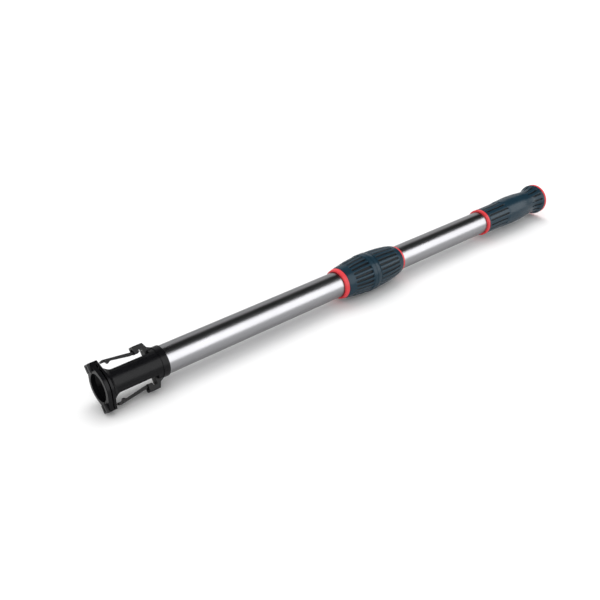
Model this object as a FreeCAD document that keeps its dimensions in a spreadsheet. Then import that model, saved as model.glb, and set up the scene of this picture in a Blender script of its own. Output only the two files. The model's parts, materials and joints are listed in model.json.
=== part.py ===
import FreeCAD, Part
import math
import os
import re

import Sketcher

# A telescopic window cleaning pole, 658 mm long when it is closed.
#
# Every sub-part is drawn in the pole's own frame: X runs along the pole's axis from the foremost
# point of the head (station 0) to the end of the grip, and Z points through the upper lug of the
# head. One placement then lays the pole on the floor: the middle of its length over the origin,
# +X towards the grip, the floor at Z = 0, and the head turned about the axis by roll_angle.

# Driving dimensions in millimetres and degrees. A station is a distance from the foremost point.
DIMENSIONS = {
    # the whole pole
    "total_length": 658.0,
    "axis_height": 21.4,
    "roll_angle": 37.0,
    "running_gap": 0.06,
    "free_gap": 0.35,
    "seat_gap": 0.02,
    # tubes
    "tube_radius": 14.0,
    "tube_wall": 1.0,
    "inner_radius": 11.0,
    "inner_wall": 1.0,
    "head_tube_start": 61.5,
    "head_tube_end": 295.5,
    "inner_start": 262.0,
    "inner_end": 592.5,
    "handle_tube_start": 348.5,
    "handle_tube_end": 654.5,
    "reducer_start": 265.0,
    "reducer_flange": 1.5,
    "reducer_pin_station": 289.5,
    "reducer_pin_radius": 1.5,
    "guide_length": 20.0,
    "guide_wall": 2.5,
    # head: socket, flanges and sleeve
    "mouth_face": 2.5,
    "mouth_radius": 13.4,
    "mouth_depth": 4.5,
    "funnel_end": 12.5,
    "socket_radius": 9.5,
    "socket_depth": 46.0,
    "socket_web": 3.0,
    "flange_radius": 17.3,
    "flange_front": 3.4,
    "flange_groove": 1.2,
    "flange_rear": 2.2,
    "groove_radius": 14.6,
    "flare_length": 5.7,
    "flare_rise": 0.9,
    "sleeve_radius": 14.4,
    "rim_station": 60.0,
    "rim_radius": 15.0,
    "rim_length": 6.5,
    "spigot_length": 28.0,
    "spigot_wall": 2.6,
    "flat_distance": 10.8,
    "flat_round": 5.2,
    "flat_end": 54.7,
    "flat_line_angle": 38.0,
    "flat_line_radius": 0.45,
    "rivet_station": 80.0,
    "rivet_radius": 1.6,
    "rivet_head_radius": 2.8,
    "rivet_head_height": 0.8,
    "rivet_dome": 0.64,
    # head: lugs
    "lug_reach": 22.9,
    "lug_tip_width": 9.0,
    "lug_boss_width": 8.4,
    "lug_boss_foot": 15.0,
    "lug_bridge": 1.6,
    "lug_slit": 1.8,
    "lug_round": 1.0,
    "rim_round": 0.6,
    # head: latch brackets
    "bracket_front": 43.6,
    "bracket_top_end": 53.6,
    "bracket_reach": 21.9,
    "bracket_width": 8.4,
    "bracket_shoulder": 56.2,
    "bracket_foot": 61.0,
    "bracket_root": 10.3,
    "bracket_round": 0.6,
    "window_top": 17.4,
    "window_end": 52.4,
    "slot_width": 5.0,
    "slot_top": 19.4,
    "cheek_radius": 2.5,
    # latches
    "hinge_station": 46.0,
    "hinge_reach": 16.7,
    "pin_radius": 0.8,
    "pin_length": 7.4,
    "eye_radius": 1.9,
    "arm_width": 4.4,
    "arm_round": 0.35,
    "arm_root": 0.6,
    "tip_station": 12.6,
    "tip_reach": 20.4,
    "tip_thickness": 1.9,
    "tip_length": 2.4,
    "bump_height": 0.8,
    "barb_station": 18.6,
    "barb_height": 2.2,
    "barb_length": 3.0,
    "barb_shoulder": 0.5,
    "spring_slot_width": 3.1,
    "spring_slot_half": 2.4,
    "spring_slot_reach": 3.0,
    "spring_wire": 0.22,
    "spring_coil": 1.3,
    "spring_turns": 3.0,
    "spring_pitch": 0.54,
    "spring_leg": 2.6,
    # collar: lock nut
    "nut_start": 285.5,
    "nut_ring_length": 5.0,
    "nut_ring_radius": 16.2,
    "nut_band_radius": 17.0,
    "nut_step": 302.5,
    "nut_rear_radius": 20.7,
    "nut_bulge": 0.55,
    "nut_rib_lift": 0.495,
    "nut_rib_start": 300.5,
    "ridge_start": 324.5,
    "ridge_radius": 21.3,
    "nut_end": 335.5,
    "nut_lip": 1.0,
    "nut_shell_front": 16.2,
    "nut_shell_rear": 17.6,
    "nut_spigot_radius": 15.3,
    "nut_ring_lip": 1.5,
    "ring_lead": 0.8,
    "ring_edge": 0.6,
    "ring_crown": 0.12,
    "ring_round": 0.25,
    "mouth_gap": 0.35,
    "web_start": 299.5,
    "web_thickness": 1.5,
    "thread_radius": 15.8,
    "thread_start": 305.0,
    "washer_thickness": 1.0,
    "washer_radius": 14.6,
    # collar: collet
    "collet_flange": 2.0,
    "collet_end": 321.0,
    "collet_front_radius": 13.5,
    "collet_tip_radius": 12.35,
    "collet_slot": 1.2,
    "collet_slot_start": 306.0,
    # collar: base on the handle tube
    "neck_start": 306.5,
    "cone_front_radius": 13.95,
    "cone_rear_radius": 12.7,
    "cone_end": 322.0,
    "neck_bore": 11.7,
    "base_start": 336.1,
    "base_step": 360.0,
    "base_shell_front": 17.6,
    "base_shell_rear": 15.2,
    "base_shell_end": 373.5,
    "base_front_radius": 20.9,
    "base_end": 377.5,
    "base_end_radius": 15.4,
    "base_shoulder": 374.5,
    "base_shoulder_radius": 17.1,
    "base_bulge": 0.75,
    "base_rib_bulge": 0.6,
    "base_rib_lift": 0.2625,
    "base_rib_end": 369.5,
    "base_ring_length": 3.0,
    "base_ring_radius": 15.0,
    "base_pin_station": 354.5,
    "base_pin_radius": 1.2,
    # ribs of the soft sleeves
    "collar_rib_count": 24,
    "grip_rib_count": 14,
    "groove_width": 1.7,
    "groove_depth": 0.8,
    # grip
    "grip_start": 534.0,
    "grip_ring_length": 4.5,
    "grip_ring_radius": 16.2,
    "grip_neck_radius": 15.7,
    "grip_belly_start": 566.0,
    "grip_belly": 598.0,
    "grip_belly_radius": 17.5,
    "grip_swell": 0.2,
    "grip_bulge": 0.35,
    "grip_hollow": 0.6,
    "grip_waist": 636.0,
    "grip_waist_radius": 15.2,
    "grip_flare": 652.0,
    "grip_flare_radius": 19.2,
    "grip_end": 654.5,
    "grip_end_radius": 18.7,
    "grip_rib_start": 542.5,
    "grip_rib_fade": 579.5,
    "grip_rib_end": 587.5,
    "tail_rib_start": 638.0,
    "tail_rib_end": 650.5,
    "end_ring_radius": 19.1,
    "end_ring_bore": 16.0,
    "cap_radius": 16.0,
    "cap_recess": 0.6,
    "cap_plug_length": 20.0,
    "cap_dish_radius": 11.0,
    "cap_dish_depth": 1.5,
}

document = FreeCAD.newDocument("window_pole")
sheet = document.addObject("Spreadsheet::Sheet", "Sizes")
for row, (alias, number) in enumerate(DIMENSIONS.items(), 1):
    sheet.set(f"A{row}", alias)
    sheet.set(f"B{row}", str(number))
    sheet.setAlias(f"B{row}", alias)
document.recompute()


# --- helpers -----------------------------------------------------------------------------------


def bound(expression):
    """Write an expression of aliases the way another object has to write it."""
    def with_sheet(word):
        return f"Sizes.{word.group()}" if word.group() in DIMENSIONS else word.group()

    return re.sub(r"[a-z_]+", with_sheet, expression)


def value(expression):
    """The number that an expression of aliases gives."""
    result = document.getObject("Reader").evalExpression(bound(expression))
    return float(result)


document.addObject("App::FeaturePython", "Reader")


def pole_placement(half_turn):
    """Where the pole's own frame lies on the floor, for a shape that can't follow the sheet."""
    turn = value("180 - roll_angle" if half_turn else "360 - roll_angle")
    base = FreeCAD.Vector(value("-total_length / 2"), 0, value("axis_height"))
    return FreeCAD.Placement(base, FreeCAD.Rotation(FreeCAD.Vector(1, 0, 0), turn))


def new_body(label, half_turn=False):
    """A body for one sub-part, laid on the floor; half_turn puts it on the lower side of the head."""
    body = document.addObject("PartDesign::Body", label)
    body.Label = label
    body.Placement.Rotation = FreeCAD.Rotation(FreeCAD.Vector(1, 0, 0), -1.0)
    body.setExpression("Placement.Base.x", bound("-total_length / 2"))
    body.setExpression("Placement.Base.z", bound("axis_height"))
    turn = "180 - roll_angle" if half_turn else "360 - roll_angle"
    body.setExpression("Placement.Rotation.Angle", bound(turn))
    return body


def origin_feature(body, role):
    """One of the body's own planes or axes."""
    return next(item for item in body.Origin.OriginFeatures if item.Role == role)


def new_sketch(body, name, role, offset=None):
    """A sketch on one of the body's origin planes, moved along the plane's normal by offset."""
    sketch = body.newObject("Sketcher::SketchObject", f"{body.Label}_{name}")
    sketch.AttachmentSupport = (origin_feature(body, role), [""])
    sketch.MapMode = "FlatFace"
    if offset:
        sketch.setExpression("AttachmentOffset.Base.z", bound(offset))
    return sketch


def bind_constraint(sketch, constraint, name, expression):
    """Add a named constraint whose size follows the sheet."""
    index = sketch.addConstraint(constraint)
    sketch.renameConstraint(index, name)
    sketch.setExpression(f"Constraints.{name}", bound(expression))


def pin_coordinate(sketch, kind, geometry, vertex, name, expression):
    """Hold one coordinate of a vertex, on the sketch's own axis where it is zero."""
    number = value(expression)
    if abs(number) < 1e-9:
        axis = -2 if kind == "DistanceX" else -1
        sketch.addConstraint(Sketcher.Constraint("PointOnObject", geometry, vertex, axis))
        return
    constraint = Sketcher.Constraint(kind, -1, 1, geometry, vertex, number)
    bind_constraint(sketch, constraint, name, expression)


def bulge_point(start, end, rise):
    """The middle of an arc that rises to the left of the way from start to end."""
    chord = end - start
    normal = FreeCAD.Vector(-chord.y, chord.x, 0).normalize()
    return (start + end) * 0.5 + normal * rise


def draw_outline(sketch, corners):
    """Draw a closed outline. A corner is (across, up) or (across, up, rise), all expressions.

    The rise is the height of the arc that leads to the next corner, positive on the left.
    """
    first = sketch.GeometryCount
    points = [FreeCAD.Vector(value(corner[0]), value(corner[1]), 0) for corner in corners]
    ends = []
    for index, corner in enumerate(corners):
        start = points[index]
        end = points[(index + 1) % len(points)]
        if len(corner) == 3:
            middle = bulge_point(start, end, value(corner[2]))
            sketch.addGeometry(Part.Arc(start, middle, end), False)
        else:
            sketch.addGeometry(Part.LineSegment(start, end), False)
        forward = sketch.getPoint(first + index, 1).distanceToPoint(start) < 1e-6
        ends.append((1, 2) if forward else (2, 1))
    for index, corner in enumerate(corners):
        geometry = first + index
        following = (index + 1) % len(corners)
        join = (geometry, ends[index][1], first + following, ends[following][0])
        sketch.addConstraint(Sketcher.Constraint("Coincident", *join))
        pin_coordinate(sketch, "DistanceX", geometry, ends[index][0], f"across_{geometry}", corner[0])
        pin_coordinate(sketch, "DistanceY", geometry, ends[index][0], f"up_{geometry}", corner[1])
        if len(corner) == 3:
            next_corner = corners[following]
            chord = f"(({next_corner[0]}) - ({corner[0]}))^2 + (({next_corner[1]}) - ({corner[1]}))^2"
            radius = f"abs((({chord}) / 4 + ({corner[2]})^2) / (2 * ({corner[2]})))"
            constraint = Sketcher.Constraint("Radius", geometry, value(radius))
            bind_constraint(sketch, constraint, f"radius_{geometry}", radius)


def draw_circle(sketch, across, up, radius):
    """Draw a circle whose centre and radius are expressions."""
    centre = FreeCAD.Vector(value(across), value(up), 0)
    axis = FreeCAD.Vector(0, 0, 1)
    geometry = sketch.addGeometry(Part.Circle(centre, axis, value(radius)), False)
    pin_coordinate(sketch, "DistanceX", geometry, 3, f"across_{geometry}", across)
    pin_coordinate(sketch, "DistanceY", geometry, 3, f"up_{geometry}", up)
    constraint = Sketcher.Constraint("Radius", geometry, value(radius))
    bind_constraint(sketch, constraint, f"radius_{geometry}", radius)


def box_corners(left, right, low, high):
    """The corners of a rectangle given by its sides."""
    return [(left, low), (right, low), (right, high), (left, high)]


def revolve(body, name, corners, kind="PartDesign::Revolution", angle=None):
    """Turn an outline of (station, radius) about the pole's axis, as material or as a groove."""
    sketch = new_sketch(body, f"{name}_outline", "XZ_Plane")
    draw_outline(sketch, corners)
    feature = body.newObject(kind, f"{body.Label}_{name}")
    feature.Profile = sketch
    feature.ReferenceAxis = (sketch, ["H_Axis"])
    feature.Angle = 360.0
    if angle:
        feature.Midplane = True
        feature.setExpression("Angle", bound(angle))
    return feature


def extrude(body, name, sketch, length, kind="PartDesign::Pad", both_ways=False, reverse=False):
    """Pad or pocket a sketch over a length, to one side of it or to both."""
    feature = body.newObject(kind, f"{body.Label}_{name}")
    feature.Profile = sketch
    feature.Reversed = reverse
    if both_ways:
        feature.SideType = "Symmetric"
    feature.setExpression("Length", bound(length))
    return feature


def side_feature(body, name, shapes, width, kind="PartDesign::Pad"):
    """Extrude outlines or circles drawn in the X-Z plane by half the width to each side."""
    sketch = new_sketch(body, f"{name}_outline", "XZ_Plane")
    for shape in shapes:
        if isinstance(shape, list):
            draw_outline(sketch, shape)
        else:
            draw_circle(sketch, *shape)
    return extrude(body, name, sketch, width, kind, both_ways=True)


def cross_hole(body, name, station, radius, reach=None):
    """Drill one hole across the pole, from its axis out to reach, or right through."""
    sketch = new_sketch(body, f"{name}_outline", "XZ_Plane")
    draw_circle(sketch, station, "0", radius)
    length = reach or "4 * tube_radius"
    return extrude(body, name, sketch, length, "PartDesign::Pocket", both_ways=reach is None)


def around(body, feature, count):
    """Repeat a feature evenly round the pole's axis."""
    pattern = body.newObject("PartDesign::PolarPattern", f"{feature.Label}_pattern")
    pattern.Originals = [feature]
    pattern.Axis = (origin_feature(body, "X_Axis"), [""])
    pattern.Angle = 360.0
    pattern.setExpression("Occurrences", bound(count))
    body.Tip = pattern
    return pattern


def soften(body, name, size, choose, kind="PartDesign::Fillet"):
    """Round or chamfer the edges of the body's last feature that choose picks."""
    document.recompute()
    base = body.Tip
    edges = [f"Edge{number}" for number, edge in enumerate(base.Shape.Edges, 1) if choose(edge)]
    feature = body.newObject(kind, f"{body.Label}_{name}")
    feature.Base = (base, edges)
    feature.setExpression("Radius" if kind.endswith("Fillet") else "Size", bound(size))
    return feature


def on_plane(edge, station):
    """Whether an edge lies in the plane across the pole at a station."""
    return all(abs(vertex.X - value(station)) < 0.01 for vertex in edge.Vertexes)


def is_lug_corner(edge):
    """Whether an edge is an outer corner of a lug, along the pole or across its front."""
    reach = value("lug_reach")
    return all(abs(abs(vertex.Z) - reach) < 0.01 for vertex in edge.Vertexes) and (
        on_plane(edge, "0") or abs(edge.Vertexes[0].X - edge.Vertexes[-1].X) > 5.0
    )


# --- head: socket, tube and latches --------------------------------------------------------------

FRONT_FLANGE_END = "mouth_face + flange_front"
REAR_FLANGE_START = f"{FRONT_FLANGE_END} + flange_groove"
REAR_FLANGE_END = f"{REAR_FLANGE_START} + flange_rear"
FLARE_END = f"{REAR_FLANGE_END} + flare_length"
SOCKET_BOTTOM = "mouth_face + socket_depth"
SPIGOT_END = "rim_station + spigot_length"
SPIGOT_RADIUS = "tube_radius - tube_wall - running_gap"
SPRING_FRONT = "(spring_slot_half + spring_leg)"


def socket_outline():
    """Half-section of the socket: two flanges, sleeve, rear rim and the hollow spigot in the tube."""
    return [
        ("mouth_face", "0"),
        ("mouth_face", "flange_radius"),
        (FRONT_FLANGE_END, "flange_radius"),
        (FRONT_FLANGE_END, "groove_radius"),
        (REAR_FLANGE_START, "groove_radius"),
        (REAR_FLANGE_START, "flange_radius"),
        (REAR_FLANGE_END, "flange_radius", "-flare_rise"),
        (FLARE_END, "sleeve_radius"),
        ("rim_station", "sleeve_radius"),
        ("rim_station", "rim_radius"),
        ("rim_station + rim_length", "rim_radius"),
        ("rim_station + rim_length", "tube_radius + running_gap"),
        ("head_tube_start", "tube_radius + running_gap"),
        ("head_tube_start", SPIGOT_RADIUS),
        (SPIGOT_END, SPIGOT_RADIUS),
        (SPIGOT_END, f"{SPIGOT_RADIUS} - spigot_wall"),
        (f"{SOCKET_BOTTOM} + socket_web", f"{SPIGOT_RADIUS} - spigot_wall"),
        (f"{SOCKET_BOTTOM} + socket_web", "0"),
    ]


def bore_outline():
    """Half-section of the hole that takes the tool: a wide mouth, a funnel and a narrower socket."""
    return [
        ("0", "0"),
        ("0", "mouth_radius"),
        ("mouth_face + mouth_depth", "mouth_radius"),
        ("funnel_end", "socket_radius"),
        (SOCKET_BOTTOM, "socket_radius"),
        (SOCKET_BOTTOM, "0"),
    ]


def add_flange_ears(body):
    """Widen both flanges to the lugs, with sides that run tangent to the flange's circle."""
    half_tip = "lug_tip_width / 2"
    lean = f"(atan({half_tip} / lug_reach) + acos(flange_radius / hypot(lug_reach; {half_tip})))"
    side = f"flange_radius * sin({lean})"
    height = f"flange_radius * cos({lean})"
    outline = [
        (half_tip, "lug_reach"),
        (side, height),
        (side, f"-({height})"),
        (half_tip, "-lug_reach"),
        (f"-{half_tip}", "-lug_reach"),
        (f"-({side})", f"-({height})"),
        (f"-({side})", height),
        (f"-{half_tip}", "lug_reach"),
    ]
    plates = (("front_ears", "mouth_face", "flange_front"), ("rear_ears", REAR_FLANGE_START, "flange_rear"))
    for name, station, thickness in plates:
        sketch = new_sketch(body, f"{name}_outline", "YZ_Plane", station)
        draw_outline(sketch, outline)
        extrude(body, name, sketch, thickness)


def add_lug(body, name, sign):
    """A boss in front of the flange and the bridge that ties both ears together."""
    half = "lug_boss_width / 2"
    boss = new_sketch(body, f"{name}_boss_outline", "YZ_Plane")
    feet = (f"{sign}lug_boss_foot", f"{sign}lug_reach")
    draw_outline(boss, box_corners(f"-{half}", half, *feet))
    extrude(body, f"{name}_boss", boss, "mouth_face + 0.2")
    bridge = new_sketch(body, f"{name}_bridge_outline", "YZ_Plane")
    reach = (f"{sign}(lug_reach - lug_bridge)", f"{sign}lug_reach")
    draw_outline(bridge, box_corners(f"-{half}", half, *reach))
    extrude(body, f"{name}_bridge", bridge, REAR_FLANGE_END)


def cut_lug_slit(body, name, sign):
    """The narrow slit that runs from the bore out to the lug, through the front flange."""
    sketch = new_sketch(body, f"{name}_slit_outline", "YZ_Plane")
    half = "lug_slit / 2"
    reach = (f"{sign}socket_radius", f"{sign}(lug_reach - lug_bridge)")
    draw_outline(sketch, box_corners(f"-{half}", half, *reach))
    extrude(body, f"{name}_slit", sketch, f"{FRONT_FLANGE_END} + 0.1", "PartDesign::Pocket", reverse=True)


def flat_outline(sign):
    """Side view of what is cut away above one flat, with a round run-out behind the flange."""
    start = f"{REAR_FLANGE_END} + flange_rear"
    outer = f"{sign}(sleeve_radius + 2)"
    return [
        (start, f"{sign}(flat_distance + flat_round)", f"{sign}(-flat_round * (1 - cos(45)))"),
        (f"{start} + flat_round", f"{sign}flat_distance"),
        ("flat_end", f"{sign}flat_distance"),
        ("flat_end", outer),
        (start, outer),
    ]


def bracket_outline(sign):
    """Side view of one bracket: a block over the hinge, a leg behind it and a sloping gusset."""
    return [
        ("bracket_front", f"{sign}bracket_reach"),
        ("bracket_top_end", f"{sign}bracket_reach"),
        ("bracket_shoulder", f"{sign}hinge_reach"),
        ("bracket_foot", f"{sign}sleeve_radius"),
        ("bracket_foot", f"{sign}bracket_root"),
        ("window_end", f"{sign}bracket_root"),
        ("window_end", f"{sign}window_top"),
        ("hinge_station + cheek_radius", f"{sign}window_top"),
        ("hinge_station + cheek_radius", f"{sign}hinge_reach"),
        ("hinge_station - cheek_radius", f"{sign}hinge_reach"),
        ("hinge_station - cheek_radius", f"{sign}(bracket_reach - cheek_radius * 0.6)"),
    ]


def is_bracket_top(edge, sign):
    """Whether an edge borders the outer face of the bracket on one side of the head."""
    reach = value(f"{sign}bracket_reach")
    within = value("bracket_front - 1") < edge.CenterOfMass.x < value("bracket_top_end + 1")
    return within and all(abs(vertex.Z - reach) < 0.01 for vertex in edge.Vertexes)


def add_bracket(body, name, sign):
    """A bracket with round cheeks about the hinge pin, slotted for the latch arm."""
    side_feature(body, name, [bracket_outline(sign)], "bracket_width")
    soften(body, f"{name}_edges", "bracket_round", lambda edge: is_bracket_top(edge, sign))
    cheek = ("hinge_station", f"{sign}hinge_reach", "cheek_radius")
    side_feature(body, f"{name}_cheeks", [cheek], "bracket_width")
    slot = box_corners("bracket_front - 2", "hinge_station + cheek_radius + 0.1",
                       f"{sign}(sleeve_radius - 1)", f"{sign}slot_top")
    side_feature(body, f"{name}_slot", [slot], "slot_width", "PartDesign::Pocket")
    pin = ("hinge_station", f"{sign}hinge_reach", "pin_radius")
    side_feature(body, f"{name}_pin_hole", [pin], "pin_length", "PartDesign::Pocket")


def cut_flat_lines(body):
    """Four fine lines along the sleeve, beside the flats."""
    for name, across, up in (("a", "", ""), ("b", "", "-"), ("c", "-", ""), ("d", "-", "-")):
        sketch = new_sketch(body, f"flat_line_{name}_outline", "YZ_Plane", FLARE_END)
        centre_across = f"{across}sleeve_radius * cos(flat_line_angle)"
        centre_up = f"{up}sleeve_radius * sin(flat_line_angle)"
        draw_circle(sketch, centre_across, centre_up, "flat_line_radius")
        length = f"bracket_foot - ({FLARE_END})"
        extrude(body, f"flat_line_{name}", sketch, length, "PartDesign::Pocket", reverse=True)


def socket_body():
    """The head's one-piece moulding, which takes the tool and plugs into the head tube."""
    body = new_body("socket_body")
    revolve(body, "turned", socket_outline())
    add_flange_ears(body)
    soften(body, "front_rim", "rim_round", lambda edge: on_plane(edge, "mouth_face"))
    for name, sign in (("upper", ""), ("lower", "-")):
        add_lug(body, f"{name}_lug", sign)
    soften(body, "lug_corners", "lug_round", is_lug_corner)
    revolve(body, "bore", bore_outline(), "PartDesign::Groove")
    for name, sign in (("upper", ""), ("lower", "-")):
        cut_lug_slit(body, f"{name}_lug", sign)
        side_feature(body, f"{name}_flat", [flat_outline(sign)], "4 * sleeve_radius", "PartDesign::Pocket")
    cut_flat_lines(body)
    for name, sign in (("upper", ""), ("lower", "-")):
        add_bracket(body, f"{name}_bracket", sign)
    cross_hole(body, "rivet_hole", "rivet_station", "rivet_radius", "tube_radius")
    return body


def plain_tube(label, start, end, radius, wall):
    """A tube between two stations."""
    body = new_body(label)
    revolve(body, "turned", box_corners(start, end, f"{radius} - {wall}", radius))
    return body


def head_tube():
    """The outer tube of the head section, drilled for the socket's rivet and the reducer's pin."""
    body = plain_tube("head_tube", "head_tube_start", "head_tube_end", "tube_radius", "tube_wall")
    cross_hole(body, "rivet_hole", "rivet_station", "rivet_radius", "tube_radius + 1")
    cross_hole(body, "pin_hole", "reducer_pin_station", "reducer_pin_radius")
    return body


def radial_pin(body, name, station, radius, foot, head):
    """A cylinder that points across the pole, between two distances from its axis."""
    sketch = new_sketch(body, f"{name}_outline", "XZ_Plane", f"-({foot})")
    draw_circle(sketch, station, "0", radius)
    return extrude(body, name, sketch, f"({head}) - ({foot})", reverse=True)


def socket_rivet():
    """A dome-headed rivet that holds the socket's spigot in the head tube."""
    body = new_body("socket_rivet")
    foot = f"{SPIGOT_RADIUS} - spigot_wall"
    head = "tube_radius + rivet_head_height"
    radial_pin(body, "head", "rivet_station", "rivet_head_radius", "tube_radius + running_gap", head)
    soften(body, "dome", "rivet_dome", lambda edge: edge.CenterOfMass.y > value(head) - 0.01)
    radial_pin(body, "shank", "rivet_station", "rivet_radius", foot, "tube_radius + rivet_head_height / 2")
    return body


def arm_outline():
    """Side view of a latch arm: a beam that leans outward to a hooked tip behind the lug."""
    tip_inner = "tip_reach - tip_thickness"
    return [
        ("tip_station", "tip_reach"),
        ("tip_station + tip_length", "tip_reach + bump_height"),
        ("hinge_station", "hinge_reach + arm_root"),
        ("hinge_station", "hinge_reach - eye_radius"),
        ("hinge_station - 3 * eye_radius", "hinge_reach - eye_radius"),
        ("barb_station + barb_length", f"{tip_inner} - barb_shoulder"),
        ("barb_station", f"{tip_inner} - barb_height"),
        ("barb_station - barb_length / 2", tip_inner),
        ("tip_station + tip_thickness / 4", tip_inner),
    ]


def is_beam_edge(edge):
    """Whether an edge runs along one of a latch arm's two side faces, clear of the hinge."""
    half = value("arm_width / 2")
    on_side = all(abs(abs(vertex.Y) - half) < 0.01 for vertex in edge.Vertexes)
    along = abs(edge.Vertexes[0].Y - edge.Vertexes[-1].Y) < 0.01
    return on_side and along and edge.CenterOfMass.x < value("hinge_station") - 0.01


def latch_arm(label, half_turn):
    """A latch arm: hooked beam, eye for the hinge pin, slot for the spring, hole for its leg."""
    body = new_body(label, half_turn)
    side_feature(body, "beam", [arm_outline()], "arm_width")
    soften(body, "edges", "arm_round", is_beam_edge)
    side_feature(body, "eye", [("hinge_station", "hinge_reach", "eye_radius")], "arm_width")
    bore = ("hinge_station", "hinge_reach", "pin_radius + running_gap")
    side_feature(body, "bore", [bore], "2 * arm_width", "PartDesign::Pocket")
    low = "hinge_reach - spring_slot_reach"
    slot = box_corners("hinge_station - spring_slot_half", "hinge_station + spring_slot_half",
                       low, "hinge_reach + spring_slot_reach")
    side_feature(body, "spring_slot", [slot], "spring_slot_width", "PartDesign::Pocket")
    channel = box_corners(f"hinge_station - {SPRING_FRONT} - free_gap", "hinge_station",
                          low, "hinge_reach - spring_coil + spring_wire + running_gap")
    side_feature(body, "spring_channel", [channel], "spring_slot_width", "PartDesign::Pocket")
    return body


def latch_pin(label, half_turn):
    """The steel hinge pin of one latch arm, pressed into the bracket's two cheeks."""
    body = new_body(label, half_turn)
    side_feature(body, "turned", [("hinge_station", "hinge_reach", "pin_radius")], "pin_length")
    return body


def latch_spring(label, half_turn):
    """A torsion spring about the hinge pin, one leg under the arm and one against the bracket."""
    pitch = value("spring_pitch")
    radius = value("spring_coil")
    turns = value("spring_turns")
    coil = Part.makeHelix(pitch, pitch * turns, radius)
    tangent = FreeCAD.Vector(0, 2 * math.pi * radius, pitch).normalize()
    coil_start = FreeCAD.Vector(radius, 0, 0)
    coil_end = FreeCAD.Vector(radius, 0, pitch * turns)
    rear_tip = coil_start - tangent * value("window_end - hinge_station - spring_wire")
    front_tip = coil_end + tangent * value(SPRING_FRONT)
    rear_leg = Part.makeLine(rear_tip, coil_start)
    front_leg = Part.makeLine(coil_end, front_tip)
    wire = Part.Wire([rear_leg] + coil.Edges + [front_leg])
    section = Part.Wire(Part.makeCircle(value("spring_wire"), rear_tip, tangent))
    shape = wire.makePipeShell([section], True, True)
    # The coil is wound about its own Z from +X; here Z lies along the hinge pin, with the coil's
    # middle in the middle of the arm, and +X points to the pole's axis.
    centred = FreeCAD.Placement(FreeCAD.Vector(0, 0, -pitch * turns / 2), FreeCAD.Rotation())
    axes = FreeCAD.Placement(FreeCAD.Matrix(0, -1, 0, 0, 0, 0, 1, 0, -1, 0, 0, 0, 0, 0, 0, 1))
    hinge = FreeCAD.Vector(value("hinge_station"), 0, value("hinge_reach"))
    on_hinge = FreeCAD.Placement(hinge, axes.Rotation)
    feature = document.addObject("Part::Feature", label)
    feature.Label = label
    feature.Shape = shape
    feature.Placement = pole_placement(half_turn) * on_hinge * centred
    return feature


# --- extension: what joins the head tube to the tube that slides in the handle ---------------------


def reducer():
    """The bush that centres the inner tube in the head tube's rear end."""
    body = new_body("reducer_bush")
    outer = "tube_radius - tube_wall"
    revolve(body, "turned", [
        ("reducer_start", "inner_radius"),
        ("reducer_start", outer),
        ("head_tube_end", outer),
        ("head_tube_end", "tube_radius"),
        ("head_tube_end + reducer_flange", "tube_radius"),
        ("head_tube_end + reducer_flange", "inner_radius"),
    ])
    cross_hole(body, "pin_hole", "reducer_pin_station", "reducer_pin_radius")
    return body


def reducer_pin():
    """The cross pin that ties head tube, reducer bush and inner tube together."""
    body = new_body("reducer_pin")
    sketch = new_sketch(body, "outline", "XZ_Plane")
    draw_circle(sketch, "reducer_pin_station", "0", "reducer_pin_radius")
    extrude(body, "turned", sketch, "2 * tube_radius - 0.2", both_ways=True)
    return body


def inner_tube():
    """The tube that slides in the handle and is clamped by the collet."""
    body = plain_tube("inner_tube", "inner_start", "inner_end", "inner_radius", "inner_wall")
    cross_hole(body, "pin_hole", "reducer_pin_station", "reducer_pin_radius")
    return body


def rear_guide():
    """The capped bush on the inner tube's rear end, which runs in the handle tube."""
    body = new_body("rear_guide_bush")
    outer = "tube_radius - tube_wall - running_gap"
    revolve(body, "turned", [
        ("inner_end - guide_length", "inner_radius"),
        ("inner_end - guide_length", outer),
        ("inner_end + guide_wall", outer),
        ("inner_end + guide_wall", "0"),
        ("inner_end", "0"),
        ("inner_end", "inner_radius"),
    ])
    return body


def front_guide():
    """The bush in the handle tube's front end, which carries the inner tube and stops the rear bush."""
    body = new_body("front_guide_bush")
    outer = "tube_radius - tube_wall"
    end = "handle_tube_start + guide_length"
    revolve(body, "turned", box_corners("handle_tube_start", end, "inner_radius + running_gap", outer))
    return body


# --- collar: lock nut, collet and base -------------------------------------------------------------

MOUTH_RADIUS = "tube_radius + mouth_gap"
NUT_BODY_START = "nut_start + nut_ring_length"
NUT_CORE_END = "nut_end - nut_lip"
WEB_END = "web_start + web_thickness"
WASHER_START = f"{WEB_END} + running_gap"
COLLET_START = f"{WASHER_START} + washer_thickness"
SEAT_RADIUS = "tube_radius + seat_gap"


def nut_core():
    """The hard shell of the lock nut: tube mouth, web that pulls the collet, and thread bore."""
    body = new_body("nut_core")
    front = "nut_start + nut_ring_lip"
    thread_bore = "thread_radius + free_gap"
    revolve(body, "turned", [
        (front, MOUTH_RADIUS),
        (front, "nut_spigot_radius"),
        (NUT_BODY_START, "nut_spigot_radius"),
        (NUT_BODY_START, "nut_shell_front"),
        ("nut_step", "nut_shell_front"),
        ("nut_step", "nut_shell_rear"),
        (NUT_CORE_END, "nut_shell_rear"),
        (NUT_CORE_END, thread_bore),
        ("thread_start", thread_bore),
        ("thread_start", "washer_radius + free_gap"),
        (WEB_END, "washer_radius + free_gap"),
        (WEB_END, "inner_radius + free_gap"),
        ("web_start", "inner_radius + free_gap"),
        ("web_start", MOUTH_RADIUS),
    ])
    return body


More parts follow.
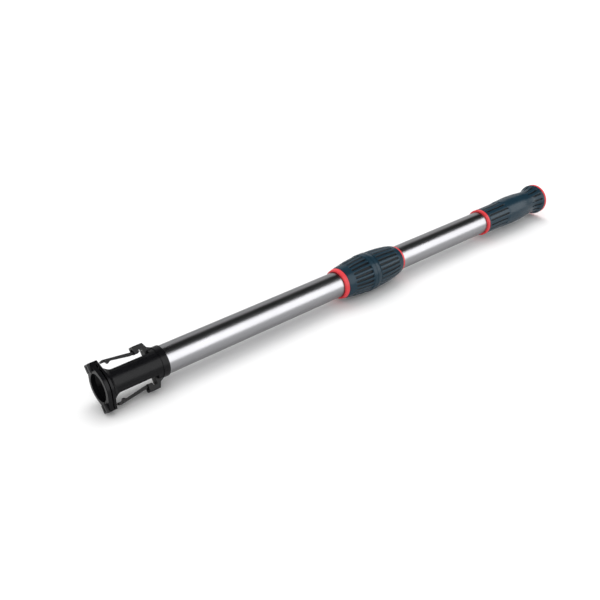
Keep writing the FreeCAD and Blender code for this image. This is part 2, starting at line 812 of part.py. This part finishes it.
def rib_groove(body, name, start_station, start_radius, end_station, end_radius, rise, count):
    """Cut the grooves between a sleeve's ribs: one strip under the surface, repeated round the pole."""
    depth = "groove_depth"
    groove = revolve(body, name, [
        (start_station, f"{start_radius} - {depth}", f"-({rise})"),
        (end_station, f"{end_radius} - {depth}"),
        (end_station, f"{end_radius} + 2"),
        (start_station, f"{start_radius} + 2"),
    ], "PartDesign::Groove", f"groove_width / ({start_radius}) * 180 / pi")
    return around(body, groove, count)


def nut_sleeve():
    """The ribbed soft sleeve of the lock nut, with the smooth ridge at its rear end."""
    body = new_body("nut_sleeve")
    revolve(body, "turned", [
        (NUT_BODY_START, "nut_shell_front"),
        (NUT_BODY_START, "nut_band_radius", "-nut_bulge"),
        ("ridge_start", "nut_rear_radius"),
        ("ridge_start + 1.2", "ridge_radius"),
        ("nut_end - ring_lead", "ridge_radius"),
        ("nut_end", "ridge_radius - ring_lead"),
        ("nut_end", "thread_radius + free_gap"),
        (NUT_CORE_END, "thread_radius + free_gap"),
        (NUT_CORE_END, "nut_shell_rear"),
        ("nut_step", "nut_shell_rear"),
        ("nut_step", "nut_shell_front"),
    ])
    slope = "(nut_rear_radius - nut_band_radius) / (ridge_start - nut_start - nut_ring_length)"
    run = "(nut_rib_start - nut_start - nut_ring_length)"
    start_radius = f"nut_band_radius + nut_rib_lift + {slope} * {run}"
    rib_groove(body, "ribs", "nut_rib_start", start_radius, "ridge_start - 1", "nut_rear_radius",
               "nut_bulge / 2", "collar_rib_count")
    return body


def nut_ring():
    """The red ring at the mouth of the lock nut."""
    body = new_body("nut_ring")
    revolve(body, "turned", [
        ("nut_start", MOUTH_RADIUS),
        ("nut_start", "nut_ring_radius - ring_edge", "-ring_round"),
        ("nut_start + ring_lead", "nut_ring_radius"),
        (f"{NUT_BODY_START} - ring_edge", "nut_band_radius", "-ring_crown"),
        (NUT_BODY_START, "nut_band_radius - ring_edge / 2"),
        (NUT_BODY_START, "nut_spigot_radius + seat_gap"),
        ("nut_start + nut_ring_lip", "nut_spigot_radius + seat_gap"),
        ("nut_start + nut_ring_lip", MOUTH_RADIUS),
    ])
    return body


def thrust_washer():
    """The slip washer between the turning nut and the collet."""
    body = new_body("thrust_washer")
    washer_bore = "inner_radius + free_gap"
    revolve(body, "turned", box_corners(WASHER_START, COLLET_START, washer_bore, "washer_radius"))
    return body


def collet():
    """The split cone that grips the inner tube when the nut pulls it into the base."""
    body = new_body("collet")
    flange_end = f"{COLLET_START} + collet_flange"
    revolve(body, "turned", [
        (COLLET_START, "inner_radius + running_gap"),
        (COLLET_START, "washer_radius"),
        (flange_end, "washer_radius"),
        (flange_end, "collet_front_radius"),
        ("neck_start + 0.5", "collet_front_radius"),
        ("collet_end", "collet_tip_radius"),
        ("collet_end", "inner_radius + running_gap"),
    ])
    for name, role in (("upright_slot", "XZ_Plane"), ("level_slot", "XY_Plane")):
        sketch = new_sketch(body, f"{name}_outline", role)
        half = "collet_slot / 2"
        draw_outline(sketch, box_corners("collet_slot_start", "collet_end + 1", f"-{half}", half))
        extrude(body, name, sketch, "4 * tube_radius", "PartDesign::Pocket", both_ways=True)
    return body


def collar_base():
    """The fixed half of the collar: threaded neck with the clamping cone, and the handle tube's seat."""
    body = new_body("collar_base")
    revolve(body, "turned", [
        ("neck_start", "cone_front_radius"),
        ("neck_start", "thread_radius"),
        ("base_start", "thread_radius"),
        ("base_start", "base_shell_front"),
        ("base_step", "base_shell_front"),
        ("base_step", "base_shell_rear"),
        ("base_shell_end", "base_shell_rear"),
        ("base_shell_end", SEAT_RADIUS),
        ("handle_tube_start", SEAT_RADIUS),
        ("handle_tube_start", "neck_bore"),
        ("cone_end", "neck_bore"),
        ("cone_end", "cone_rear_radius"),
    ])
    cross_hole(body, "pin_hole", "base_pin_station", "base_pin_radius", "base_shell_front + 1")
    return body


def base_pin():
    """The dowel that keeps the collar base from turning or sliding on the handle tube."""
    body = new_body("base_pin")
    radial_pin(body, "turned", "base_pin_station", "base_pin_radius", "tube_radius - tube_wall",
               "base_shell_front - running_gap")
    return body


def base_sleeve():
    """The ribbed soft sleeve on the collar base, tapering to the handle tube."""
    body = new_body("base_sleeve")
    revolve(body, "turned", [
        ("base_start", "base_shell_front"),
        ("base_start", "base_front_radius - ring_edge"),
        ("base_start + ring_edge", "base_front_radius", "-base_bulge"),
        ("base_shoulder", "base_shoulder_radius", "-ring_round"),
        ("base_end", "base_end_radius"),
        ("base_end", SEAT_RADIUS),
        ("base_shell_end", SEAT_RADIUS),
        ("base_shell_end", "base_shell_rear"),
        ("base_step", "base_shell_rear"),
        ("base_step", "base_shell_front"),
    ])
    slope = "(base_front_radius - base_shoulder_radius) / (base_shoulder - base_start)"
    end_radius = f"base_shoulder_radius + base_rib_lift + {slope} * (base_shoulder - base_rib_end)"
    rib_groove(body, "ribs", "base_start + 1.6", "base_front_radius", "base_rib_end", end_radius,
               "base_rib_bulge", "collar_rib_count")
    return body


def base_ring():
    """The thin red ring behind the collar."""
    body = new_body("base_ring")
    end = "base_end + base_ring_length"
    revolve(body, "turned", [
        ("base_end", SEAT_RADIUS),
        ("base_end", "base_ring_radius"),
        (f"{end} - ring_lead", "base_ring_radius", "-ring_crown"),
        (end, "base_ring_radius - ring_edge"),
        (end, SEAT_RADIUS),
    ])
    return body


# --- handle: tube, grip and end --------------------------------------------------------------------

RIB_ANGLE = "groove_width / grip_neck_radius * 180 / pi"


def handle_tube():
    """The outer tube of the handle, drilled for the collar base's pins."""
    body = plain_tube("handle_tube", "handle_tube_start", "handle_tube_end", "tube_radius", "tube_wall")
    cross_hole(body, "pin_hole", "base_pin_station", "base_pin_radius", "base_shell_front + 1")
    return body


def grip_ring():
    """The red ring in front of the grip."""
    body = new_body("grip_front_ring")
    end = "grip_start + grip_ring_length"
    revolve(body, "turned", [
        ("grip_start", SEAT_RADIUS),
        ("grip_start", "grip_ring_radius - ring_lead", "-ring_round"),
        ("grip_start + ring_lead", "grip_ring_radius"),
        (f"{end} - ring_edge", "grip_ring_radius", "-ring_crown"),
        (end, "grip_ring_radius - ring_edge"),
        (end, SEAT_RADIUS),
    ])
    return body


def grip_sleeve():
    """The moulded grip: ribbed front, round belly, ribbed waist and flared end."""
    body = new_body("grip_sleeve")
    start = "grip_start + grip_ring_length"
    revolve(body, "turned", [
        (start, SEAT_RADIUS),
        (start, "grip_neck_radius"),
        ("grip_belly_start", "grip_neck_radius + grip_swell", "-grip_bulge"),
        ("grip_belly", "grip_belly_radius", "-grip_bulge"),
        ("grip_waist", "grip_waist_radius", "grip_hollow"),
        ("grip_flare", "grip_flare_radius"),
        ("grip_end", "grip_end_radius"),
        ("grip_end", SEAT_RADIUS),
    ])
    floor = "grip_neck_radius - groove_depth"
    outside = "grip_flare_radius + 1"
    front = revolve(body, "front_ribs", [
        ("grip_rib_start", floor),
        ("grip_rib_fade", floor),
        ("grip_rib_end", "grip_belly_radius - grip_swell"),
        ("grip_rib_end", outside),
        ("grip_rib_start", outside),
    ], "PartDesign::Groove", RIB_ANGLE)
    around(body, front, "grip_rib_count")
    tail = revolve(body, "tail_ribs", [
        ("tail_rib_start", "grip_waist_radius - groove_depth / 2"),
        ("tail_rib_end", "grip_flare_radius - groove_depth * 2"),
        ("tail_rib_end", outside),
        ("tail_rib_start", outside),
    ], "PartDesign::Groove", RIB_ANGLE)
    around(body, tail, "grip_rib_count")
    return body


def end_ring():
    """The red ring round the end of the grip."""
    body = new_body("grip_end_ring")
    revolve(body, "turned", [
        ("grip_end", "end_ring_bore + seat_gap"),
        ("grip_end", "grip_end_radius"),
        ("grip_end + ring_lead", "end_ring_radius", "-ring_crown"),
        ("total_length - ring_lead", "end_ring_radius", "-ring_round"),
        ("total_length", "end_ring_radius - ring_lead"),
        ("total_length", "end_ring_bore + seat_gap"),
    ])
    return body


def end_cap():
    """The plug that closes the handle tube, with a dished outer face."""
    body = new_body("end_cap")
    plug = "tube_radius - tube_wall"
    face = "total_length - cap_recess"
    revolve(body, "turned", [
        ("handle_tube_end - cap_plug_length", "0"),
        ("handle_tube_end - cap_plug_length", plug),
        ("handle_tube_end", plug),
        ("handle_tube_end", "cap_radius"),
        (face, "cap_radius"),
        (face, "cap_dish_radius"),
        (f"{face} - cap_dish_depth", "cap_dish_radius - cap_dish_depth"),
        (f"{face} - cap_dish_depth", "0"),
    ])
    return body


# --- build, check and write ------------------------------------------------------------------------

SUB_PARTS = [
    socket_body(),
    head_tube(),
    socket_rivet(),
    latch_arm("latch_arm_upper", False),
    latch_arm("latch_arm_lower", True),
    latch_pin("latch_pin_upper", False),
    latch_pin("latch_pin_lower", True),
    latch_spring("latch_spring_upper", False),
    latch_spring("latch_spring_lower", True),
    reducer(),
    reducer_pin(),
    inner_tube(),
    rear_guide(),
    front_guide(),
    nut_core(),
    nut_sleeve(),
    nut_ring(),
    thrust_washer(),
    collet(),
    collar_base(),
    base_pin(),
    base_sleeve(),
    base_ring(),
    handle_tube(),
    grip_ring(),
    grip_sleeve(),
    end_ring(),
    end_cap(),
]
document.recompute()

for item in document.Objects:
    if "Invalid" in item.State or "Error" in item.State:
        raise RuntimeError(f"{item.Label} did not compute: {item.State}")
for sub_part in SUB_PARTS:
    if sub_part.Shape.isNull() or not sub_part.Shape.isValid():
        raise RuntimeError(f"{sub_part.Label} has no valid shape")

os.makedirs("parts", exist_ok=True)
for sub_part in SUB_PARTS:
    sub_part.Shape.exportStep(f"parts/{sub_part.Label}.step")
    print(sub_part.Label, round(sub_part.Shape.Volume, 1), len(sub_part.Shape.Solids))
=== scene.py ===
import json
import math

import bpy
from mathutils import Euler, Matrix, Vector


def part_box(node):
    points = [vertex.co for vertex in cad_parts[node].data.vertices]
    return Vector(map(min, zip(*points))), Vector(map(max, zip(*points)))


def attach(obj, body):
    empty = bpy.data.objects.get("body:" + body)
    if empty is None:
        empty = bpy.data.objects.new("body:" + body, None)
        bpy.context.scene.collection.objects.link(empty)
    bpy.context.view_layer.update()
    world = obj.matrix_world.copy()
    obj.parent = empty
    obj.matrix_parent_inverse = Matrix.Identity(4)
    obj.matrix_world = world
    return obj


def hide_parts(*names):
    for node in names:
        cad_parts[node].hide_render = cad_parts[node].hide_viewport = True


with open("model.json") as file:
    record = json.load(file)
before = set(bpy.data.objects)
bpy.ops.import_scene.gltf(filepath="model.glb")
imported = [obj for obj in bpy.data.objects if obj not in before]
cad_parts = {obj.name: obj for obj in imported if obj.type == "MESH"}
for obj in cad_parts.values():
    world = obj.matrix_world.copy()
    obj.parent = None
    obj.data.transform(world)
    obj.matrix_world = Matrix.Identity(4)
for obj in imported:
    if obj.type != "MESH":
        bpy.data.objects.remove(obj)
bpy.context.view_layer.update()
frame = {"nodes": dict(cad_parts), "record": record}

# A telescopic window cleaning pole on a pale floor. The tubes, the head and the red rings are the
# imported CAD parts; the three ribbed rubber sleeves are modelled here as turned skins with grooves.

MM = 0.001

# --- places, in metres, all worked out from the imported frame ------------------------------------

HEAD_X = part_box("socket_body")[0].x
AXIS_Z = (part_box("head_tube")[0].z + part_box("head_tube")[1].z) / 2


def radius_of(node):
    """The outer radius in millimetres of a node that is round about the pole's axis."""
    return (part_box(node)[1].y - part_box(node)[0].y) / 2 / MM


TUBE_RADIUS = radius_of("head_tube")

# --- ribbed rubber sleeves ------------------------------------------------------------------------

# Outlines below are (distance along the sleeve, radius) in millimetres, from the sleeve's front end.
COLLAR_RIBS = 24
GRIP_RIBS = 16
SEGMENTS_PER_COLLAR_RIB = 22
SEGMENTS_PER_GRIP_RIB = 40
SKIN_STEP = 0.9
# Share of a groove's width taken by each sloping wall.
GROOVE_WALL = 0.24
# The grip's panel reaches furthest back on the side at this turn, and on the opposite one.
PANEL_TURN = math.radians(143.0)
# Outlines that turn by more than this keep a crisp edge.
SHARP_TURN = math.radians(35)


def smoothstep(value):
    """Ease from 0 to 1, held at both ends."""
    value = min(max(value, 0.0), 1.0)
    return value * value * (3 - 2 * value)


def slope_at(points, index):
    """The slope of a smooth curve at one of its points, flat at a turning point."""
    if index in (0, len(points) - 1):
        first = min(index, len(points) - 2)
        return (points[first + 1][1] - points[first][1]) / (points[first + 1][0] - points[first][0])
    before = (points[index][1] - points[index - 1][1]) / (points[index][0] - points[index - 1][0])
    after = (points[index + 1][1] - points[index][1]) / (points[index + 1][0] - points[index][0])
    if before * after <= 0:
        return 0.0
    return 2 * before * after / (before + after)


def smooth_skin(points):
    """Fill in a smooth curve through outline points, one ring every SKIN_STEP or closer."""
    skin = [points[0]]
    for index in range(len(points) - 1):
        (start, low), (end, high) = points[index], points[index + 1]
        span = end - start
        pull = slope_at(points, index) * span
        push = slope_at(points, index + 1) * span
        rings = max(1, math.ceil(span / SKIN_STEP))
        for ring in range(1, rings + 1):
            t = ring / rings
            radius = (2 * t**3 - 3 * t**2 + 1) * low + (t**3 - 2 * t**2 + t) * pull
            radius += (3 * t**2 - 2 * t**3) * high + (t**3 - t**2) * push
            skin.append((start + span * t, radius))
    return skin


def groove_depth(along, turn, radius, count, start, end, width, depth, square_end=False):
    """How far a ring of long round-ended grooves lowers the skin at one place."""
    pitch = 2 * math.pi / count
    aside = abs((turn + pitch / 2) % pitch - pitch / 2) * radius
    beyond = max(0.0, start + width / 2 - along)
    if square_end:
        if along > end:
            return 0.0
    else:
        beyond = max(beyond, along - end + width / 2)
    inside = width / 2 - math.hypot(aside, beyond)
    return depth * smoothstep(inside / (width * GROOVE_WALL))


def turned_piece(name, skin, lining, segments, relief):
    """A closed ring about the pole's axis: a relieved outer skin, and a plain lining inside it."""
    front_x = skin[0][0]
    rings = [(along, radius, True) for along, radius in skin]
    rings += [(along, radius, False) for along, radius in reversed(lining)]
    vertices = []
    sunk = []
    for along, radius, outside in rings:
        for segment in range(segments):
            turn = 2 * math.pi * segment / segments
            depth = relief(along - front_x, turn, radius) if outside else 0.0
            across = (radius - depth) * math.cos(turn) * MM
            up = (radius - depth) * math.sin(turn) * MM
            vertices.append((along * MM, across, up))
            sunk.append(depth)
    faces = []
    for ring in range(len(rings)):
        here = ring * segments
        there = (ring + 1) % len(rings) * segments
        for segment in range(segments):
            following = (segment + 1) % segments
            faces.append((here + segment, here + following, there + following, there + segment))
    mesh = bpy.data.meshes.new(name)
    mesh.from_pydata(vertices, [], faces)
    mesh.polygons.foreach_set("use_smooth", [True] * len(faces))
    # Each vertex keeps how deep its groove sinks, and the rubber material paints shade into groove floors
    # from it.
    mesh.attributes.new("groove", "FLOAT", "POINT").data.foreach_set("value", sunk)
    mark_sharp_rings(mesh, rings, segments)
    mesh.update()
    piece = bpy.data.objects.new(name, mesh)
    bpy.context.scene.collection.objects.link(piece)
    return piece


def mark_sharp_rings(mesh, rings, segments):
    """Keep the shading crisp where the outline turns sharply."""
    sharp_rings = set()
    for index, (along, radius, _) in enumerate(rings):
        before = Vector((along, radius)) - Vector(rings[index - 1][:2])
        after = Vector(rings[(index + 1) % len(rings)][:2]) - Vector((along, radius))
        if before.angle(after, 0.0) > SHARP_TURN:
            sharp_rings.add(index)
    sharp = mesh.attributes.new("sharp_edge", "BOOLEAN", "EDGE")
    for edge in mesh.edges:
        first, second = (vertex // segments for vertex in edge.vertices)
        sharp.data[edge.index].value = first == second and first in sharp_rings


def place_sleeve(piece, node):
    """Put a sleeve where its CAD node is, on the node's body, in the node's finish."""
    piece.location = (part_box(node)[0].x, 0, AXIS_Z)
    bpy.context.view_layer.update()
    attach(piece, next(b for b, nodes in BODY_NODES.items() if node in nodes))
    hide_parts(node)
    piece.data.materials.append(MATERIALS[SLOTS[node]])


def nut_skin():
    """The lock nut's sleeve: smooth band, ribs, and a ridge with a fine line round it."""
    swell = smooth_skin([(0.0, 16.7), (0.5, 17.1), (9.0, 18.4), (21.0, 19.9), (34.0, 20.75)])
    ridge = [
        (34.3, 21.15),
        (34.8, 21.3),
        (38.6, 21.3),
        (38.9, 20.95),
        (39.5, 20.95),
        (39.8, 21.3),
        (44.2, 21.3),
        (44.8, 21.0),
        (45.0, 20.5),
    ]
    return swell + ridge


def nut_relief(along, turn, radius):
    """Grooves that run back into the ridge."""
    start = 9.0
    end = 33.9
    width = 2.7 + 0.02 * along
    depth = 0.75 + 0.035 * along
    return groove_depth(along, turn, radius, COLLAR_RIBS, start, end, width, depth, square_end=True)


def make_nut_sleeve():
    core = radius_of("nut_core")
    neck = core - 1.4
    lining = [(0.0, neck), (12.0, neck), (12.0, core), (44.0, core), (44.0, core - 1.4), (45.0, core - 1.4)]
    segments = COLLAR_RIBS * SEGMENTS_PER_COLLAR_RIB
    piece = turned_piece("lock_nut_rubber", nut_skin(), lining, segments, nut_relief)
    place_sleeve(piece, "nut_sleeve")


def base_relief(along, turn, radius):
    """Grooves that start behind the ridge and end in round tips before the rear shoulder."""
    rim = 1.0
    if along < rim:
        return 0.0
    half_pitch = math.pi / COLLAR_RIBS
    start = -2.0
    end = 33.0
    width = 2.7
    depth = 1.5
    return groove_depth(along, turn + half_pitch, radius, COLLAR_RIBS, start, end, width, depth)


def make_base_sleeve():
    """The collar base's sleeve, which tapers to the handle tube."""
    length = (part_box("base_sleeve")[1].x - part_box("base_sleeve")[0].x) / MM
    skin = [(0.0, 20.3), (0.3, 20.7), (0.95, 20.8)]
    skin += smooth_skin([(1.05, 20.8), (7.0, 20.6), (15.0, 20.2), (24.0, 19.4), (32.0, 18.3), (38.4, 17.0)])
    skin += [(39.6, 16.5), (40.7, 15.9), (length, 15.3)]
    shell = radius_of("collar_base")
    bore = TUBE_RADIUS + 0.05
    rear = shell - 2.4
    lining = [(0.0, shell), (23.9, shell), (23.9, rear), (37.4, rear), (37.4, bore), (length, bore)]
    segments = COLLAR_RIBS * SEGMENTS_PER_COLLAR_RIB
    piece = turned_piece("collar_base_rubber", skin, lining, segments, base_relief)
    place_sleeve(piece, "base_sleeve")


def grip_relief(along, turn, radius):
    """A sunk ribbed panel with a wavy border in front of the belly, and ribs up the flared tail."""
    border = 39.5 + 3.5 * math.cos(2 * (turn - PANEL_TURN))
    sunk = 0.4 * smoothstep((border - along) / 1.4) * smoothstep((along - 1.0) / 1.5)
    front = groove_depth(along, turn, radius, GRIP_RIBS, start=3.0, end=border - 1.6, width=2.3, depth=1.4)
    tail = groove_depth(along, turn, radius, GRIP_RIBS, start=93.5, end=112.0, width=2.5, depth=1.6)
    return sunk + front + tail


def make_grip_sleeve():
    """The moulded grip: ribbed front, smooth belly, ribbed waist, flared lip."""
    length = (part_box("grip_sleeve")[1].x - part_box("grip_sleeve")[0].x) / MM
    skin = smooth_skin([
        (0.0, 15.9),
        (1.0, 16.2),
        (26.0, 16.35),
        (42.0, 16.9),
        (60.0, 17.5),
        (75.0, 17.0),
        (88.0, 15.9),
        (97.5, 15.3),
        (104.0, 16.0),
        (110.0, 18.1),
        (113.2, 19.15),
    ])
    skin += [(114.3, 19.25), (115.3, 19.05), (length, 18.6)]
    bore = TUBE_RADIUS + 0.05
    lining = [(0.0, bore), (length, bore)]
    piece = turned_piece("grip_rubber", skin, lining, GRIP_RIBS * SEGMENTS_PER_GRIP_RIB, grip_relief)
    place_sleeve(piece, "grip_sleeve")


# --- materials ----------------------------------------------------------------------------------


class Nodes:
    """A small helper that adds and links shader nodes of one material."""

    def __init__(self, name):
        self.material = bpy.data.materials.new(name)
        self.material.use_nodes = True
        self.tree = self.material.node_tree
        self.shader = self.tree.nodes["Principled BSDF"]
        self.position = self.add("ShaderNodeTexCoord").outputs["Object"]

    def add(self, kind, **settings):
        node = self.tree.nodes.new(kind)
        for key, setting in settings.items():
            setattr(node, key, setting)
        return node

    def link(self, source, target):
        self.tree.links.new(source, target)

    def stretched(self, scale):
        """Object coordinates scaled along each axis, for grain that runs one way."""
        mapping = self.add("ShaderNodeMapping")
        mapping.inputs["Scale"].default_value = scale
        self.link(self.position, mapping.inputs["Vector"])
        return mapping.outputs["Vector"]

    def noise(self, vector, scale, detail=3.0, roughness=0.55):
        node = self.add("ShaderNodeTexNoise")
        node.inputs["Scale"].default_value = scale
        node.inputs["Detail"].default_value = detail
        node.inputs["Roughness"].default_value = roughness
        self.link(vector, node.inputs["Vector"])
        return node.outputs["Fac"]

    def band(self, value, low, high, out_low, out_high):
        """Map a value from one range to another, clamped."""
        node = self.add("ShaderNodeMapRange")
        node.inputs["From Min"].default_value = low
        node.inputs["From Max"].default_value = high
        node.inputs["To Min"].default_value = out_low
        node.inputs["To Max"].default_value = out_high
        self.link(value, node.inputs["Value"])
        return node.outputs["Result"]

    def blend(self, factor, first, second):
        """Mix two colours by a factor."""
        node = self.add("ShaderNodeMix", data_type="RGBA")
        self.link(factor, node.inputs["Factor"])
        for value, socket in ((first, node.inputs["A"]), (second, node.inputs["B"])):
            if isinstance(value, tuple):
                socket.default_value = value
            else:
                self.link(value, socket)
        return node.outputs["Result"]

    def bump(self, height, strength, distance):
        node = self.add("ShaderNodeBump")
        node.inputs["Strength"].default_value = strength
        node.inputs["Distance"].default_value = distance
        self.link(height, node.inputs["Height"])
        self.link(node.outputs["Normal"], self.shader.inputs["Normal"])


# The specular level of satin rubber and plastic.
SATIN_GLOSS = 0.14
# Painted shade for the floor of a groove: the dark colour that groove floors are mixed towards.
GROOVE_PAINTED_SHADE = (0.004, 0.006, 0.008, 1)

# Each material's main colour, its darker blotches or hairlines, and, where it wears, its rubbed patches.
PALETTE = {
    "black_plastic": ((0.004, 0.004, 0.005, 1), (0.006, 0.006, 0.007, 1), (0.010, 0.010, 0.011, 1)),
    "tube_metal": ((0.26, 0.26, 0.27, 1), (0.235, 0.235, 0.245, 1)),
    "inner_metal": ((0.42, 0.43, 0.44, 1), (0.36, 0.37, 0.38, 1)),
    "navy_soft": ((0.009, 0.028, 0.044, 1), (0.012, 0.034, 0.052, 1), (0.018, 0.042, 0.062, 1)),
    "red_trim": ((0.74, 0.058, 0.068, 1), (0.68, 0.05, 0.06, 1), (0.78, 0.08, 0.09, 1)),
    "hard_core": ((0.02, 0.022, 0.025, 1), (0.026, 0.028, 0.031, 1), (0.035, 0.037, 0.04, 1)),
    "white_nylon": ((0.78, 0.77, 0.72, 1), (0.72, 0.71, 0.66, 1), (0.8, 0.79, 0.75, 1)),
    "pin_steel": ((0.4, 0.4, 0.41, 1), (0.34, 0.34, 0.35, 1)),
}


def moulded(name, roughness, gloss=SATIN_GLOSS):
    """A moulded plastic or rubber: fine spark-eroded grain, faint blotches and rubbed patches."""
    colour, dark, worn = PALETTE[name]
    m = Nodes(name)
    blotch = m.noise(m.position, 45.0)
    rubbed = m.noise(m.stretched((1.0, 3.0, 3.0)), 160.0, 5.0)
    fine = m.noise(m.position, 2600.0, 2.0)
    base = m.blend(m.band(blotch, 0.3, 0.7, 0.0, 1.0), colour, dark)
    m.link(m.blend(m.band(rubbed, 0.62, 0.8, 0.0, 0.6), base, worn), m.shader.inputs["Base Color"])
    m.link(m.band(rubbed, 0.35, 0.7, roughness - 0.04, roughness + 0.07), m.shader.inputs["Roughness"])
    m.shader.inputs["Specular IOR Level"].default_value = gloss
    m.bump(fine, 0.3, 0.00002)
    return m.material


def ribbed_rubber(name, roughness):
    """Soft rubber whose rib tops are polished by hands and whose grooves stay matt, with painted shade
    darkening the groove floors.
    """
    colour, dark, worn = PALETTE[name]
    m = Nodes(name)
    groove = m.add("ShaderNodeAttribute", attribute_name="groove").outputs["Fac"]
    blotch = m.noise(m.position, 45.0)
    rubbed = m.noise(m.stretched((1.0, 3.0, 3.0)), 160.0, 5.0)
    base = m.blend(m.band(blotch, 0.3, 0.7, 0.0, 1.0), colour, dark)
    handled = m.blend(m.band(rubbed, 0.62, 0.8, 0.0, 0.6), base, worn)
    # Painted shade: the deeper a groove sinks, the darker its floor is painted.
    painted_shade_amount = m.band(groove, 0.45, 1.1, 0.0, 0.95)
    m.link(m.blend(painted_shade_amount, handled, GROOVE_PAINTED_SHADE), m.shader.inputs["Base Color"])
    m.link(m.band(groove, 0.45, 1.1, roughness, 0.42), m.shader.inputs["Roughness"])
    m.shader.inputs["Specular IOR Level"].default_value = SATIN_GLOSS
    m.bump(m.noise(m.position, 2600.0, 2.0), 0.25, 0.00001)
    return m.material


def drawn_metal(name, roughness, line_depth):
    """A polished drawn tube: hairlines along its length, faint handling marks."""
    colour, dark = PALETTE[name]
    m = Nodes(name)
    lines = m.noise(m.stretched((5.0, 700.0, 700.0)), 3.0, 4.0, 0.7)
    smears = m.noise(m.stretched((1.0, 2.5, 2.5)), 30.0, 5.0)
    streaked = m.blend(m.band(lines, 0.3, 0.75, 0.0, 0.5), colour, dark)
    m.link(m.blend(m.band(smears, 0.45, 0.8, 0.0, 0.7), streaked, dark), m.shader.inputs["Base Color"])
    m.link(m.band(smears, 0.3, 0.8, roughness - 0.02, roughness + 0.04), m.shader.inputs["Roughness"])
    m.shader.inputs["Metallic"].default_value = 1.0
    m.bump(lines, 0.2, line_depth)
    return m.material


def make_materials():
    """One material for each slot of the record."""
    return {
        "black_plastic": moulded("black_plastic", 0.28, gloss=0.1),
        "tube_metal": drawn_metal("tube_metal", 0.29, 0.000001),
        "inner_metal": drawn_metal("inner_metal", 0.3, 0.000004),
        "navy_soft": ribbed_rubber("navy_soft", 0.26),
        "red_trim": moulded("red_trim", 0.3),
        "hard_core": moulded("hard_core", 0.42),
        "white_nylon": moulded("white_nylon", 0.4),
        "pin_steel": drawn_metal("pin_steel", 0.28, 0.00001),
    }


MATERIALS = make_materials()
SLOTS = {entry["node"]: entry["material_slot"] for entry in frame["record"]["subparts"]}
BODY_NODES = frame["record"]["behaviour"]["bodies"]


def dress_frame_nodes():
    """Give every carried-over node the material of its slot."""
    for name, slot in SLOTS.items():
        node = frame["nodes"][name]
        node.data.materials.clear()
        node.data.materials.append(MATERIALS[slot])


dress_frame_nodes()
make_nut_sleeve()
make_base_sleeve()
make_grip_sleeve()

# --- floor, light and camera ----------------------------------------------------------------------

FLOOR_SIZE = 14.0


def make_floor():
    """A plain pale floor under the whole view."""
    bpy.ops.mesh.primitive_plane_add(size=FLOOR_SIZE, location=(0, 0, 0))
    floor = bpy.context.object
    floor.name = "floor"
    material = bpy.data.materials.new("floor_paper")
    material.use_nodes = True
    shader = material.node_tree.nodes["Principled BSDF"]
    shader.inputs["Base Color"].default_value = (0.9, 0.9, 0.9, 1)
    shader.inputs["Roughness"].default_value = 0.9
    shader.inputs["Specular IOR Level"].default_value = 0.1
    floor.data.materials.append(material)


def aim(lamp, place, target):
    """Stand a lamp at a place, pointing at a target."""
    lamp.location = place
    lamp.rotation_euler = (Vector(target) - Vector(place)).to_track_quat("-Z", "Y").to_euler()
    bpy.context.scene.collection.objects.link(lamp)


def add_panel(name, place, target, width, height, radiance):
    """A soft rectangular panel of an even brightness, which makes only the highlights."""
    data = bpy.data.lights.new(name, "AREA")
    data.shape = "RECTANGLE"
    data.size = width
    data.size_y = height
    data.energy = radiance * math.pi * width * height
    lamp = bpy.data.objects.new(name, data)
    lamp.visible_diffuse = False
    aim(lamp, place, target)


def add_sky_light(direction, spread, strength):
    """A soft light from high above, which shades the pole and floor but makes no highlights."""
    data = bpy.data.lights.new("overhead", "SUN")
    data.angle = math.radians(spread)
    data.energy = strength
    lamp = bpy.data.objects.new("overhead", data)
    lamp.visible_glossy = False
    aim(lamp, Vector(direction), (0, 0, 0))


OVERHEAD_FROM = (0.3, 0.35, 0.89)
OVERHEAD_SPREAD = 40.0
OVERHEAD_STRENGTH = 1.1
PANEL_X = 0.9
PANEL_WIDTH = 3.6
FRONT_RADIANCE = 4.1
REAR_RADIANCE = 0.9
DOME_STRENGTH = 0.98


def make_lights():
    """Soft studio light: a white dome, a soft overhead light, a tall panel in front, a dim one behind."""
    add_sky_light(OVERHEAD_FROM, OVERHEAD_SPREAD, OVERHEAD_STRENGTH)
    front = ((PANEL_X, -1.15, 0.63), (PANEL_X, -0.22, -0.04))
    add_panel("front_panel", *front, PANEL_WIDTH, 1.5, FRONT_RADIANCE)
    rear = ((PANEL_X, 1.25, 0.75), (PANEL_X, 0.2, 0.0))
    add_panel("rear_panel", *rear, PANEL_WIDTH, 1.2, REAR_RADIANCE)
    world = bpy.data.worlds.new("studio")
    bpy.context.scene.world = world
    world.use_nodes = True
    world.node_tree.nodes["Background"].inputs["Color"].default_value = (1, 1, 1, 1)
    world.node_tree.nodes["Background"].inputs["Strength"].default_value = DOME_STRENGTH
    world.cycles_visibility.glossy = False


CAMERA_FROM_HEAD = Vector((-0.2191, -0.5138, 0.3887))
CAMERA_ELEVATION = math.radians(29.54)
CAMERA_AZIMUTH = math.radians(-41.42)
CAMERA_LENS = 45.6


def make_camera():
    """The camera stands before the head and looks along the pole."""
    data = bpy.data.cameras.new("camera")
    data.lens = CAMERA_LENS
    data.sensor_width = 36.0
    camera = bpy.data.objects.new("camera", data)
    camera.location = Vector((HEAD_X, 0, AXIS_Z)) + CAMERA_FROM_HEAD
    camera.rotation_euler = Euler((math.pi / 2 - CAMERA_ELEVATION, 0, CAMERA_AZIMUTH))
    bpy.context.scene.collection.objects.link(camera)
    bpy.context.scene.camera = camera


make_floor()
make_lights()
make_camera()
bpy.context.scene.view_settings.view_transform = "Standard"
